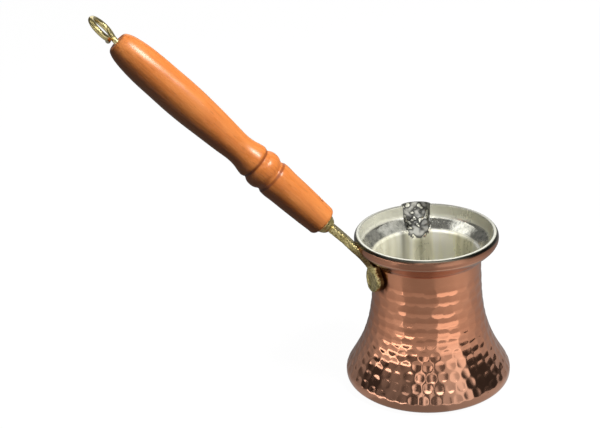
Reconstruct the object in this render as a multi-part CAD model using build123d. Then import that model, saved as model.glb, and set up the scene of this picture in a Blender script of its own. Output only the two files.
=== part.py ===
"""Hammered copper coffee pot (cezve): turned wooden handle on a cast bracket, hanging eye.

Frame, in mm: the origin is the centre of the pot's flat underside, +Z is up, the handle
leaves towards -X and the pouring spout points to +Y.
"""
from build123d import *
from math import cos, hypot, radians, sin
import os

os.makedirs("parts", exist_ok=True)

# ---------------------------------------------------------------- pot: outer profile (radius, height)
RIM_Z = 88.3
FOOT_R = 40.3
PROFILE_BODY = [
    (FOOT_R, 0.0), (42.2, 0.75), (44.0, 1.9), (45.15, 3.3), (45.45, 5.1), (45.35, 7.0), (44.5, 9.2),
    (42.9, 11.9), (40.6, 15.9), (37.8, 21.2), (35.2, 27.4), (32.95, 34.4), (31.25, 42.4),
    (30.15, 51.2), (29.8, 58.3), (29.6, 65.0), (29.55, 71.5), (29.8, 74.2),
]
PROFILE_FLARE = [
    (29.8, 74.2), (31.2, 76.0), (34.6, 79.0), (37.4, 81.7), (38.55, 83.5), (38.8, 85.4), (38.5, 87.0),
    (37.6, RIM_Z),
]
# inside of the flare: straighter than the outside, because the rim is turned out and folded down
FLARE_INSIDE = [
    (28.5, 74.9), (30.4, 76.8), (33.0, 79.1), (34.7, 80.6), (35.6, 82.1), (35.95, 84.0), (36.1, 86.0),
    (36.2, RIM_Z),
]
COPPER_WALL = 1.3
TIN_SKIN = 0.3
ABOVE_RIM = 4.0            # how far the cutting solids run past the rim

# ---------------------------------------------------------------- spout, pressed out of the flare
# (height, half width, how far out its nose reaches)
SPOUT_SECTIONS = [(72.5, 5.5, 29.2), (75.5, 7.2, 32.6), (79.0, 7.9, 37.6), (83.0, 8.1, 42.0),
                  (87.0, 8.4, 44.1), (RIM_Z + ABOVE_RIM, 8.8, 46.0)]
SPOUT_DIP_START = 36.5     # the rim falls away from here to the nose
SPOUT_DIP_SLOPE = 0.20

# ---------------------------------------------------------------- handle line
HANDLE_Y = -6.0            # the handle stands a little to one side of the pot's own axis
HANDLE_RISE = 47.06        # degrees above the horizontal
WOOD_FOOT = (-55.7, HANDLE_Y, 100.9)
AXIS = Vector(-cos(radians(HANDLE_RISE)), 0, sin(radians(HANDLE_RISE)))
ACROSS = Vector(sin(radians(HANDLE_RISE)), 0, cos(radians(HANDLE_RISE)))   # up and towards the pot

# turned wood: (distance along the handle, radius), in four runs that meet at sharp lines
WOOD_FERRULE = [(1.3, 8.38), (4.5, 8.54), (9.0, 8.78), (15.0, 9.06), (22.0, 9.38), (30.0, 9.68),
                (35.6, 9.90), (36.9, 9.78)]
WOOD_BEAD = [(38.7, 8.93), (39.9, 9.33), (41.3, 10.03), (43.8, 10.40), (46.2, 10.03), (47.8, 9.18),
             (48.7, 8.68)]
WOOD_GRIP = [(50.9, 9.48), (52.4, 9.28), (55.6, 8.51), (58.4, 8.04), (60.8, 7.90), (64.0, 8.04),
             (69.0, 8.46), (76.0, 8.98), (84.0, 9.48), (92.0, 9.90), (99.0, 10.08), (105.0, 10.11),
             (112.0, 10.01), (120.0, 9.83), (126.0, 9.56), (131.0, 9.13), (135.0, 8.60),
             (138.5, 7.90), (141.0, 7.08), (142.7, 6.18)]
WOOD_FOOT_R = 7.0
WOOD_TOP_R = 5.0
WOOD_LENGTH = 143.5

# ---------------------------------------------------------------- cast bracket
FLANGE = [(0.0, 6.2), (-0.9, 6.15), (-1.5, 5.55), (-3.0, 5.0), (-4.4, 4.25), (-5.3, 3.1), (-5.7, 1.2)]
TANG_R = 3.0
TANG_LENGTH = 27.0
ARM_WIDTH = 8.4
ARM_THICK = 4.0
# arm centre line (x, y, z, width, thickness), from inside the pad up to the flange
ARM = [
    (-29.4, -10.0, 71.8, 9.4, 3.6), (-31.6, -9.3, 75.3, 8.9, 3.8), (-33.7, -8.4, 78.3, 8.6, 3.9),
    (-36.5, -7.4, 81.6, ARM_WIDTH, ARM_THICK), (-40.2, -6.5, 85.3, ARM_WIDTH, ARM_THICK),
    (-43.9, -6.0, 89.4, ARM_WIDTH, ARM_THICK), (-47.85, -6.0, 93.55, ARM_WIDTH, ARM_THICK),
    (-51.75, -6.0, 97.45, ARM_WIDTH, 4.1),
]
PAD_AT = 199.4             # degrees round the pot
PAD_OUTER_R = 33.9
PAD_EDGE = 0.9
# half outline of the drop-shaped pad: (half width, height)
PAD_HALF = [(3.2, 76.0), (3.6, 74.5), (4.8, 72.0), (6.3, 69.3), (6.9, 66.8), (6.3, 64.0), (4.1, 61.4)]
PAD_TIP_Z = 60.3

# ---------------------------------------------------------------- rivets, cross pin, screw eye
RIVET_R = 1.6
RIVET_Z = (64.6, 71.0)
RIVET_IN_PAD = 1.7         # how far the shank enters the pad
RIVET_HEAD_R = 3.1
RIVET_HEAD_RISE = 1.4
RIVET_SEAT_R = 27.9         # the heads' undersides, just clear of the lined neck
PIN_AT = 9.7
PIN_R = 1.2
PIN_HALF = 7.6
PIN_MOUTH_R = 1.75
EYE_AT = 153.7
EYE_R = 6.5
EYE_WIRE_R = 1.5
EYE_SHANK_IN = 20.0
EYE_STUB_END = (151.3, -3.0)   # the wire's cut end: (along, across)
GAP = 0.03                 # slip between a hidden shank and its bore


def along(distance, across=0.0, side=0.0):
    """A point given in the handle's own directions."""
    return Vector(*WOOD_FOOT) + AXIS * distance + ACROSS * across + Vector(0, side, 0)


def handle_plane(distance, across=0.0):
    """A plane square to the handle line."""
    return Plane(origin=along(distance, across), x_dir=(0, 1, 0), z_dir=AXIS)


def offset_points(points, gap):
    """The profile moved inwards by gap, each point along its own normal."""
    moved = []
    for i, (r, z) in enumerate(points):
        before, after = points[max(i - 1, 0)], points[min(i + 1, len(points) - 1)]
        dr, dz = after[0] - before[0], after[1] - before[1]
        size = hypot(dr, dz)
        moved.append((r - gap * dz / size, z + gap * dr / size))
    return moved


def pot_outline(gap):
    """The body's and the flare's profiles: the outside for no gap, else the inside at that depth."""
    if gap == 0:
        return PROFILE_BODY, list(PROFILE_FLARE)
    flare = offset_points(FLARE_INSIDE, gap - COPPER_WALL)
    body = [(r, max(z, gap)) for r, z in offset_points(PROFILE_BODY, gap)[:-1]] + [flare[0]]
    body[0] = (body[0][0], gap)
    return body, flare


def pot_solid(gap):
    """The pot filled in, with every face moved inwards by gap and open cuts run past the rim."""
    body, flare = pot_outline(gap)
    top_r, top_z = flare[-1]
    if gap > 0:
        top_z = RIM_Z
        flare[-1] = (top_r, top_z)
    last_z = RIM_Z + (ABOVE_RIM if gap > 0 else 0.0)
    edges = [Spline(*[(r, 0, z) for r, z in body]), Spline(*[(r, 0, z) for r, z in flare])]
    if last_z > top_z:
        edges.append(Line((top_r, 0, top_z), (top_r, 0, last_z)))
    edges += [Line((top_r, 0, last_z), (0, 0, last_z)), Line((0, 0, last_z), (0, 0, body[0][1])),
              Line((0, 0, body[0][1]), (body[0][0], 0, body[0][1]))]
    filled = revolve(make_face(Wire(edges)), Axis.Z)
    return filled + spout_solid(gap)


def spout_solid(gap):
    """The filled channel of the spout, moved inwards by gap."""
    rings = []
    for z, half, nose in SPOUT_SECTIONS:
        r = half - gap
        rings.append(Plane.XY.offset(z) * Pos(0, nose - gap - r) * Circle(r))
    channel = loft(rings)
    if gap == 0:
        channel -= Pos(0, 0, RIM_Z + 50) * Box(200, 200, 100)
    return channel


def rim_cut():
    """Everything above the rim, and above its fall towards the spout's nose."""
    far, top = 70.0, RIM_Z + 30
    drop = RIM_Z - SPOUT_DIP_SLOPE * (far - SPOUT_DIP_START)
    side = Polyline((SPOUT_DIP_START, RIM_Z), (far, drop), (far, top), (SPOUT_DIP_START, top), close=True)
    nose = extrude(Plane.YZ.offset(-40) * make_face(side), 80)
    return nose + Pos(0, 0, RIM_Z + 15) * Box(160, 160, 30)


def rod(distance_from, distance_to, radius, across=0.0):
    """A round rod on the handle line."""
    return extrude(handle_plane(distance_from, across) * Circle(radius), distance_to - distance_from)


def wood_solid():
    """The wooden handle before its holes are made."""
    edges = [
        Line((0, 0), (WOOD_FOOT_R, 0)),
        Spline((WOOD_FOOT_R, 0), WOOD_FERRULE[0][::-1], tangents=((1, 0), (0.02, 1))),
        Spline(*[(r, d) for d, r in WOOD_FERRULE]),
        Line(WOOD_FERRULE[-1][::-1], WOOD_BEAD[0][::-1]),
        Spline(*[(r, d) for d, r in WOOD_BEAD]),
        Line(WOOD_BEAD[-1][::-1], (WOOD_GRIP[0][1] - 0.35, WOOD_GRIP[0][0] - 1.3)),
        Line((WOOD_GRIP[0][1] - 0.35, WOOD_GRIP[0][0] - 1.3), WOOD_GRIP[0][::-1]),
        Spline(*[(r, d) for d, r in WOOD_GRIP]),
        Spline(WOOD_GRIP[-1][::-1], (WOOD_TOP_R, WOOD_LENGTH), tangents=((-0.6, 0.8), (-1, 0.05))),
        Line((WOOD_TOP_R, WOOD_LENGTH), (0, WOOD_LENGTH)),
        Line((0, WOOD_LENGTH), (0, 0)),
    ]
    return on_handle(revolve(make_face(Wire(edges)), Axis.Y))


def on_handle(shape):
    """Moves a shape turned about Y onto the handle line."""
    return Plane(origin=along(0), x_dir=ACROSS, z_dir=ACROSS.cross(AXIS)) * shape


def flange_solid():
    """The small cast cup that the wood stands on."""
    points = [(r, d) for d, r in FLANGE]
    tip = FLANGE[-1][0] - 0.05
    edges = [Spline(*points[1:]), Line(points[0], points[1]), Line((0, 0), points[0]),
             Line(points[-1], (0, tip)), Line((0, tip), (0, 0))]
    return on_handle(revolve(make_face(Wire(edges)), Axis.Y))


def arm_solid():
    """The strap of the bracket, from the pad up to the flange."""
    rings = []
    for i, (x, y, z, width, thick) in enumerate(ARM):
        before, after = ARM[max(i - 1, 0)], ARM[min(i + 1, len(ARM) - 1)]
        ahead = Vector(*[after[k] - before[k] for k in range(3)]).normalized()
        plane = Plane(origin=(x, y, z), x_dir=ahead.cross(Vector(0, 1, 0)).cross(ahead) * -1, z_dir=ahead)
        rings.append(plane * RectangleRounded(width, thick, thick * 0.3))
    return loft(rings)


def pad_solid():
    """The drop-shaped plate on the neck, with a rounded outer edge."""
    right = PAD_HALF
    left = [(-w, z) for w, z in reversed(PAD_HALF)]
    edges = [Spline(*right, (0, PAD_TIP_Z), *left), Line(left[-1], right[0])]
    face = make_face(Wire(edges))
    outward = Vector(cos(radians(PAD_AT)), sin(radians(PAD_AT)), 0)
    plane = Plane(origin=outward * 20, x_dir=Vector(0, 0, 1).cross(outward), z_dir=outward)
    blank = extrude(plane * face, 30)
    plate = blank & (Pos(0, 0, 68) * Cylinder(PAD_OUTER_R, 40))
    outer = plate.edges().filter_by(
        lambda edge: all(hypot(v.X, v.Y) > PAD_OUTER_R - 0.1 for v in edge.vertices()))
    return fillet(outer, PAD_EDGE)


def radial_rod(height, r_from, r_to, radius, turn=PAD_AT):
    """A round rod pointing away from the pot's axis, under the pad's middle unless a turn is given."""
    outward = Vector(cos(radians(turn)), sin(radians(turn)), 0)
    plane = Plane(origin=outward * r_from + Vector(0, 0, height), x_dir=(0, 0, 1), z_dir=outward)
    return extrude(plane * Circle(radius), r_to - r_from)


def rivet(height):
    """A rivet with a domed head inside the pot and its tail in the pad, made along X, then turned."""
    neck_r = 29.62
    inner_r = neck_r - COPPER_WALL - TIN_SKIN
    shank = radial_rod(height, inner_r - 0.6, neck_r + RIVET_IN_PAD, RIVET_R, turn=0)
    dome_r = (RIVET_HEAD_R ** 2 + RIVET_HEAD_RISE ** 2) / (2 * RIVET_HEAD_RISE)
    ball = Pos(inner_r - RIVET_HEAD_RISE + dome_r, 0, height) * Sphere(dome_r)
    seat = Pos(0, 0, height) * Rot(0, 0, 180) * Cylinder(RIVET_SEAT_R, 12)
    head = ball & radial_rod(height, inner_r - 5, inner_r + 3, RIVET_HEAD_R, turn=0) & seat
    return Rot(0, 0, PAD_AT) * (shank + head)


def screw_eye():
    """Bent wire eye: shank in the wood, closed ring, and the wire's cut end beside the neck."""
    shank = rod(WOOD_LENGTH - EYE_SHANK_IN + 1.8, EYE_AT - EYE_R, EYE_WIRE_R)
    point = on_handle(revolve(make_face(Polyline(
        (0, WOOD_LENGTH - EYE_SHANK_IN), (EYE_WIRE_R, WOOD_LENGTH - EYE_SHANK_IN + 1.8),
        (0, WOOD_LENGTH - EYE_SHANK_IN + 1.8), close=True)), Axis.Y))
    ring_plane = Plane(origin=along(EYE_AT), x_dir=(0, 1, 0), z_dir=ACROSS)
    ring = ring_plane * Torus(EYE_R, EYE_WIRE_R)
    root, end = along(WOOD_LENGTH + 1.0), along(*EYE_STUB_END)
    stub_dir = end - root
    stub_plane = Plane(origin=root, x_dir=(0, 1, 0), z_dir=stub_dir.normalized())
    stub = extrude(stub_plane * Circle(EYE_WIRE_R * 0.96), stub_dir.length)
    return shank + point + ring + stub


# ---------------------------------------------------------------- build every piece
outside = pot_solid(0.0)
copper_inside = pot_solid(COPPER_WALL)
cavity = pot_solid(COPPER_WALL + TIN_SKIN)
above = rim_cut()
neck_holes = [radial_rod(z, 20, 29.62 + RIVET_IN_PAD + GAP, RIVET_R + GAP) for z in RIVET_Z]

pot_body = outside - copper_inside - above
tin_lining = copper_inside - cavity - above
for hole in neck_holes:
    pot_body -= hole
    tin_lining -= hole

bracket = pad_solid() + arm_solid() + flange_solid() - outside
bracket += rod(-2.0, TANG_LENGTH, TANG_R)
for hole in neck_holes:
    bracket -= hole

pin_plane = Plane(origin=along(PIN_AT, -PIN_HALF), x_dir=(0, 1, 0), z_dir=ACROSS)
drill_plane = Plane(origin=along(PIN_AT, -14), x_dir=(0, 1, 0), z_dir=ACROSS)
pin_hole = extrude(drill_plane * Circle(PIN_R + GAP), 28)
bracket -= pin_hole
cross_pin = extrude(pin_plane * Circle(PIN_R), 2 * PIN_HALF)

wood = wood_solid()
wood -= rod(-1.0, TANG_LENGTH + 0.5, TANG_R + GAP)
wood -= rod(WOOD_LENGTH - EYE_SHANK_IN - 0.4, WOOD_LENGTH + 1.0, EYE_WIRE_R + GAP)
wood -= pin_hole
for sense in (1, -1):
    mouth = Plane(origin=along(PIN_AT, sense * 7.7), x_dir=(0, 1, 0), z_dir=ACROSS * sense)
    wood -= mouth * Pos(0, 0, 0.75) * Cone(PIN_R + GAP, PIN_MOUTH_R + 0.35, 1.5)

PIECES = {
    "pot_body": pot_body,
    "tin_lining": tin_lining,
    "handle_bracket": bracket,
    "rivet_lower": rivet(RIVET_Z[0]),
    "rivet_upper": rivet(RIVET_Z[1]),
    "cross_pin": cross_pin,
    "wooden_handle": wood,
    "screw_eye": screw_eye(),
}

for name, piece in PIECES.items():
    solids = piece.solids()
    box = piece.bounding_box()
    print(f"{name}: {len(solids)} solid(s), volume {piece.volume:.0f}, "
          f"x {box.min.X:.1f} to {box.max.X:.1f}, y {box.min.Y:.1f} to {box.max.Y:.1f}, "
          f"z {box.min.Z:.1f} to {box.max.Z:.1f}")
    export_step(piece, f"parts/{name}.step")
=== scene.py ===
"""Hammered copper coffee pot (cezve) with a turned handle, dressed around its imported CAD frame.

Sizes are in mm and become metres when a mesh is made. The row frame: origin at the centre of the
underside, +Z up, the handle leaves towards -X, the pouring spout points to +Y.
"""
import math

import bmesh
import bpy
import numpy as np
from mathutils import Matrix, Vector


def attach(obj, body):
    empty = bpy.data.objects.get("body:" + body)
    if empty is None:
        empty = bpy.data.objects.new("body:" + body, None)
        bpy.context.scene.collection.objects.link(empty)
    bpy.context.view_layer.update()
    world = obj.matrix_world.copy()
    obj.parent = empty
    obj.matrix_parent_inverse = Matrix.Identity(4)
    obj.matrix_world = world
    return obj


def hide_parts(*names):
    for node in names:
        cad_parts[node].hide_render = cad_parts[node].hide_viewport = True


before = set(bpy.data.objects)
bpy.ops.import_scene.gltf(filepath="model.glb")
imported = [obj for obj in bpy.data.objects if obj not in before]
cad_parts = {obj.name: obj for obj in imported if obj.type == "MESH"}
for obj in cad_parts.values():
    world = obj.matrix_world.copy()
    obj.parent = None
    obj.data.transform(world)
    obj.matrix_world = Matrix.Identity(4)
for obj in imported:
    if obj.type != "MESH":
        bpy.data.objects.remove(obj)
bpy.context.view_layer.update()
MM = 0.001

# ------------------------------------------------------------------ sizes shared with the CAD source
RIM_Z = 88.3
LIP_R = 37.6
FOOT_R = 40.3
PROFILE_BODY = [
    (FOOT_R, 0.0), (42.2, 0.75), (44.0, 1.9), (45.15, 3.3), (45.45, 5.1), (45.35, 7.0), (44.5, 9.2),
    (42.9, 11.9), (40.6, 15.9), (37.8, 21.2), (35.2, 27.4), (32.95, 34.4), (31.25, 42.4),
    (30.15, 51.2), (29.8, 58.3), (29.6, 65.0), (29.55, 71.5), (29.8, 74.2),
]
PROFILE_FLARE = [
    (29.8, 74.2), (31.2, 76.0), (34.6, 79.0), (37.4, 81.7), (38.55, 83.5), (38.8, 85.4), (38.5, 87.0),
    (LIP_R, RIM_Z),
]
FLARE_INSIDE = [
    (28.5, 74.9), (30.4, 76.8), (33.0, 79.1), (34.7, 80.6), (35.6, 82.1), (35.95, 84.0), (36.1, 86.0),
    (36.2, RIM_Z),
]
COPPER_WALL = 1.3
TIN_SKIN = 0.3
SPOUT_SECTIONS = np.array([(72.5, 5.5, 29.2), (75.5, 7.2, 32.6), (79.0, 7.9, 37.6), (83.0, 8.1, 42.0),
                           (87.0, 8.4, 44.1), (92.3, 8.8, 46.0)])
SPOUT_DIP_START = 36.5
SPOUT_DIP_SLOPE = 0.20

HANDLE_Y = -6.0
HANDLE_RISE = math.radians(47.06)
WOOD_FOOT = Vector((-55.7, HANDLE_Y, 100.9))
AXIS = Vector((-math.cos(HANDLE_RISE), 0, math.sin(HANDLE_RISE)))
ACROSS = Vector((math.sin(HANDLE_RISE), 0, math.cos(HANDLE_RISE)))
WOOD_FERRULE = [(1.3, 8.38), (4.5, 8.54), (9.0, 8.78), (15.0, 9.06), (22.0, 9.38), (30.0, 9.68),
                (35.6, 9.90), (36.9, 9.78)]
WOOD_BEAD = [(38.7, 8.93), (39.9, 9.33), (41.3, 10.03), (43.8, 10.40), (46.2, 10.03), (47.8, 9.18),
             (48.7, 8.68)]
WOOD_GRIP = [(50.9, 9.48), (52.4, 9.28), (55.6, 8.51), (58.4, 8.04), (60.8, 7.90), (64.0, 8.04),
             (69.0, 8.46), (76.0, 8.98), (84.0, 9.48), (92.0, 9.90), (99.0, 10.08), (105.0, 10.11),
             (112.0, 10.01), (120.0, 9.83), (126.0, 9.56), (131.0, 9.13), (135.0, 8.60),
             (138.5, 7.90), (141.0, 7.08), (142.7, 6.18)]
WOOD_FOOT_R = 7.0
WOOD_TOP_R = 5.0
WOOD_LENGTH = 143.5

FLANGE = [(0.0, 6.2), (-0.9, 6.15), (-1.5, 5.55), (-3.0, 5.0), (-4.4, 4.25), (-5.3, 3.1), (-5.7, 1.2)]
TANG_R = 3.0
TANG_LENGTH = 27.0
ARM_WIDTH = 8.4
ARM_THICK = 4.0
ARM = [
    (-29.4, -10.0, 71.8, 9.4, 3.6), (-31.6, -9.3, 75.3, 8.9, 3.8), (-33.7, -8.4, 78.3, 8.6, 3.9),
    (-36.5, -7.4, 81.6, ARM_WIDTH, ARM_THICK), (-40.2, -6.5, 85.3, ARM_WIDTH, ARM_THICK),
    (-43.9, -6.0, 89.4, ARM_WIDTH, ARM_THICK), (-47.85, -6.0, 93.55, ARM_WIDTH, ARM_THICK),
    (-51.75, -6.0, 97.45, ARM_WIDTH, 4.1),
]
PAD_AT = math.radians(199.4)
PAD_OUTER_R = 33.9
PAD_HALF = [(3.2, 76.0), (3.6, 74.5), (4.8, 72.0), (6.3, 69.3), (6.9, 66.8), (6.3, 64.0), (4.1, 61.4)]
PAD_TIP_Z = 60.3
PIN_AT = 9.7
PIN_HOLE_R = 1.23
PIN_MOUTH_R = 2.1
EYE_AT = 153.7
EYE_R = 6.5
EYE_WIRE_R = 1.5
EYE_SHANK_IN = 20.0

# ------------------------------------------------------------------ looks
HAMMER_LOW_Z, HAMMER_HIGH_Z = 6.4, 68.5   # the hammered zone of the wall
DIMPLE_WIDTH = 6.2
FOLD_Z = 83.0                             # lower edge of the folded rim
DIMPLE_ROW = 6.1
BRACKET_BITE = 0.4                        # how far the casting sinks into the copper
NECK_R = 30                               # round figure that turns the pad's half widths into angles
ANGLES = 400                              # columns round the pot
# The main camera's direction from the pot's axis. The tin's bars below, partly wipe marks and partly
# painted reflection, and the painted shade along the lip are placed from it and then stay on the
# object: they were fitted to the main view, not found on the pot.
FRONT_OF_POT = math.radians(261.4)
# brightness of the tin round the neck, partly wipe marks and partly painted reflection:
# (degrees from the side away from the front, brightness)
WIPES_AND_REFLECTIONS = [(-180, 0.85), (-75, 0.80), (-45, 0.92), (-33, 0.86), (-27, 0.42), (-22, 0.62), (-15, 1.0),
              (-9, 0.85), (-5, 0.50), (0, 0.84), (9, 1.05), (18, 1.15), (24, 1.30), (34, 1.25),
              (41, 0.92), (60, 0.72), (75, 0.8), (180, 0.85)]


# ------------------------------------------------------------------ small tools
def spline(points, spacing):
    """A natural cubic through the points, sampled about every spacing."""
    p = np.array(points, float)
    t = np.concatenate([[0], np.cumsum(np.linalg.norm(np.diff(p, axis=0), axis=1))])
    n, h = len(p), np.diff(t)
    a, b = np.eye(n), np.zeros((n, p.shape[1]))
    for i in range(1, n - 1):
        a[i, i - 1:i + 2] = h[i - 1], 2 * (h[i - 1] + h[i]), h[i]
        b[i] = 6 * ((p[i + 1] - p[i]) / h[i] - (p[i] - p[i - 1]) / h[i - 1])
    m = np.linalg.solve(a, b)
    at = np.linspace(0, t[-1], max(3, int(round(t[-1] / spacing)) + 1))
    k = np.clip(np.searchsorted(t, at, side="right") - 1, 0, n - 2)
    left, right = (at - t[k])[:, None], (t[k + 1] - at)[:, None]
    span = h[k][:, None]
    return ((m[k] * right ** 3 + m[k + 1] * left ** 3) / (6 * span)
            + (p[k] / span - m[k] * span / 6) * right + (p[k + 1] / span - m[k + 1] * span / 6) * left)


def smoothstep(x, low, high):
    t = np.clip((np.asarray(x, float) - low) / (high - low), 0, 1)
    return t * t * (3 - 2 * t)


def waves(points, length, seed, terms=14):
    """Smooth noise of about unit size at each point: a sum of sines of about that wavelength."""
    r = np.random.RandomState(seed)
    total = np.zeros(len(points))
    for _ in range(terms):
        way = r.normal(size=points.shape[1])
        way *= 2 * math.pi / (length * r.uniform(0.7, 1.6)) / np.linalg.norm(way)
        total += np.sin(points @ way + r.uniform(0, 2 * math.pi))
    return total / math.sqrt(terms / 2)


def make_object(name, points, faces):
    mesh = bpy.data.meshes.new(name)
    mesh.from_pydata((np.asarray(points, float) * MM).tolist(), [], faces)
    mesh.polygons.foreach_set("use_smooth", [True] * len(mesh.polygons))
    mesh.update()
    made = bpy.data.objects.new(name, mesh)
    bpy.context.scene.collection.objects.link(made)
    return made


def loop_faces(rows, columns, first=0, closed=False):
    """Quads between rows of closed loops; closed joins the last row to the first."""
    r = np.arange(rows if closed else rows - 1)[:, None]
    c = np.arange(columns)[None, :]
    after, over = (c + 1) % columns, (r + 1) % rows
    quads = np.stack([r * columns + c, r * columns + after, over * columns + after, over * columns + c], -1)
    return (quads.reshape(-1, 4) + first).tolist()


def capped_loops(name, loops, low_pole, high_pole):
    """A closed skin over a stack of loops of points, with a pole at each end."""
    rows, columns = loops.shape[:2]
    points = np.concatenate([loops.reshape(-1, 3), [low_pole, high_pole]])
    faces = loop_faces(rows, columns)
    low, high, last = rows * columns, rows * columns + 1, (rows - 1) * columns
    for c in range(columns):
        n = (c + 1) % columns
        faces.append((low, n, c))
        faces.append((high, last + c, last + n))
    return make_object(name, points, faces)


def lathe(name, profile, columns, bump=None):
    """A solid turned about Z from (height, radius) points that start and end on the axis."""
    profile = np.array(profile, float)
    angle = np.linspace(0, 2 * math.pi, columns, endpoint=False)
    t, r = profile[1:-1, 0][:, None], profile[1:-1, 1][:, None]
    radius = r + (bump(t + 0 * angle, angle + 0 * t) if bump else 0 * angle)
    loops = np.stack([radius * np.cos(angle), radius * np.sin(angle), t + 0 * angle], -1)
    return capped_loops(name, loops, (0, 0, profile[0, 0]), (0, 0, profile[-1, 0]))


def sweep(name, centres, section_of, side=Vector((0, 1, 0))):
    """A closed solid along centre points.

    section_of(i) gives (across, up) points, and side is roughly the across way.
    """
    centres = [Vector(c) for c in centres]
    loops, across = [], side
    for i, centre in enumerate(centres):
        ahead = (centres[min(i + 1, len(centres) - 1)] - centres[max(i - 1, 0)]).normalized()
        across = (across - ahead * across.dot(ahead)).normalized()
        up = ahead.cross(across)
        loops.append([tuple(centre + across * a + up * b) for a, b in section_of(i)])
    loops = np.array(loops)
    return capped_loops(name, loops, tuple(centres[0]), tuple(centres[-1]))


def ring_section(radius, count=24):
    return [(radius * math.cos(2 * math.pi * k / count), radius * math.sin(2 * math.pi * k / count))
            for k in range(count)]


def handle_point(distance, across=0.0, side=0.0):
    return WOOD_FOOT + AXIS * distance + ACROSS * across + Vector((0, side, 0))


def handle_matrix(distance=0.0):
    """The handle's own frame: X across, Y sideways, Z along, in metres."""
    m = Matrix((ACROSS, Vector((0, 1, 0)), AXIS)).transposed().to_4x4()
    m.translation = handle_point(distance) * MM
    return m


def apply_modifiers(piece):
    """Bakes the piece's modifiers into its mesh."""
    bpy.context.view_layer.update()
    graph = bpy.context.evaluated_depsgraph_get()
    mesh = bpy.data.meshes.new_from_object(piece.evaluated_get(graph))
    piece.modifiers.clear()
    old = piece.data
    piece.data = mesh
    bpy.data.meshes.remove(old)
    mesh.polygons.foreach_set("use_smooth", [True] * len(mesh.polygons))
    return piece


def cut(piece, cutter):
    """Takes the cutter out of the piece and removes it."""
    bool_mod = piece.modifiers.new("cut", "BOOLEAN")
    bool_mod.operation, bool_mod.object, bool_mod.solver = "DIFFERENCE", cutter, "EXACT"
    apply_modifiers(piece)
    bpy.data.objects.remove(cutter)
    return piece


def joined(name, parts):
    """One object from several closed ones that overlap."""
    whole = bmesh.new()
    for part in parts:
        part.data.transform(part.matrix_world)
        whole.from_mesh(part.data)
        bpy.data.objects.remove(part)
    mesh = bpy.data.meshes.new(name)
    whole.to_mesh(mesh)
    whole.free()
    made = bpy.data.objects.new(name, mesh)
    bpy.context.scene.collection.objects.link(made)
    return made


def set_value(mesh, name, values):
    """A number per vertex that materials can read."""
    numbers = np.asarray(values, np.float32).ravel()
    mesh.attributes.new(name, "FLOAT", "POINT").data.foreach_set("value", numbers)


# ------------------------------------------------------------------ pot skins
def offset_profile(profile, gap):
    ahead = np.gradient(profile, axis=0)
    normal = np.stack([ahead[:, 1], -ahead[:, 0]], 1)
    return profile - gap * normal / np.linalg.norm(normal, axis=1)[:, None]


def inside_profile(gap, body_step, flare_step):
    """The inside of the pot at that depth below its outer skin, from the floor up to the rim."""
    body = offset_profile(spline(PROFILE_BODY, body_step), gap)
    flare = offset_profile(spline(FLARE_INSIDE, flare_step), gap - COPPER_WALL)
    return np.concatenate([body[(body[:, 1] > gap + 0.2) & (body[:, 1] < flare[0, 1] - 0.3)], flare])


def spread_angles(count):
    """Angles measured from +Y towards -X, closer together near the spout."""
    fine = np.linspace(-math.pi, math.pi, 20001)
    weight = 1 + 1.9 * np.exp(-(fine / math.radians(14)) ** 4)
    total = np.concatenate([[0], np.cumsum((weight[1:] + weight[:-1]) / 2)])
    return np.interp(np.arange(count) / count * total[-1], total, fine)


def spout_reach(angle, z, gap):
    """How far out the spout's channel wall lies in each direction, 0 where there is none."""
    half = np.interp(z, SPOUT_SECTIONS[:, 0], SPOUT_SECTIONS[:, 1]) - gap
    nose = np.interp(z, SPOUT_SECTIONS[:, 0], SPOUT_SECTIONS[:, 2]) - gap
    centre = nose - half
    inside = half ** 2 - (centre * np.sin(angle)) ** 2
    reach = centre * np.cos(angle) + np.sqrt(np.maximum(inside, 0))
    return np.where((inside > 0) & (np.cos(angle) > 0) & (z >= 72.0), reach, 0)


def soft_max(a, b, width):
    apart = a - b
    return 0.5 * (a + b + np.sqrt(apart ** 2 + width ** 2)) - 0.5 * width * np.exp(-(apart / width) ** 2)


def dimples(angle, run, radius, along_low, along_high):
    """Depth of the hammer marks: 0 at the ridges and negative in the hollows."""
    r = np.random.RandomState(7)
    rows = int(round((along_high - along_low) / DIMPLE_ROW))
    pitch = (along_high - along_low) / rows
    starts = along_low + pitch * (np.arange(rows) + 0.5)
    radii = np.interp(starts, run, radius)
    counts = np.round(2 * math.pi * radii / DIMPLE_WIDTH).astype(int)
    marks = []
    for k in range(rows):
        n = counts[k]
        marks.append((r.uniform(0, 1), r.normal(0, 0.07, n), r.normal(0, 0.42, n), r.uniform(0, 1.6, n)))
    depth = np.zeros((len(run), len(angle)))
    for i, s in enumerate(run):
        if not along_low - 1 < s < along_high + 1:
            continue
        upper = smoothstep(s, along_low + 22, along_low + 42)
        width_weight, height_weight = 1 - 0.5 * upper, 1 + 0.25 * upper
        total = np.zeros(len(angle))
        sharp = 2.2
        for k in range(rows):
            if abs(starts[k] - s) > 1.9 * pitch:
                continue
            n = counts[k]
            phase, slip, rise, lift = marks[k]
            place = (angle % (2 * math.pi)) / (2 * math.pi) * n - phase
            near = np.round(place).astype(int)
            for j in (near - 1, near, near + 1):
                q = j % n
                du = (place - j - slip[q]) * (2 * math.pi * radius[i] / n)
                ds = s - starts[k] - rise[q]
                total += np.exp(-sharp * (du ** 2 * width_weight + ds ** 2 * height_weight + lift[q]))
        reach = -np.log(np.maximum(total, 1e-30)) / sharp
        strength = 0.031 - 0.004 * upper
        depth[i] = np.minimum(strength * (reach - 9.5), 0)
    fade = smoothstep(run, along_low, along_low + 0.5)
    fade = fade * (1 - smoothstep(run, along_high - 3.0, along_high + 0.5))
    return depth * fade[:, None]


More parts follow.
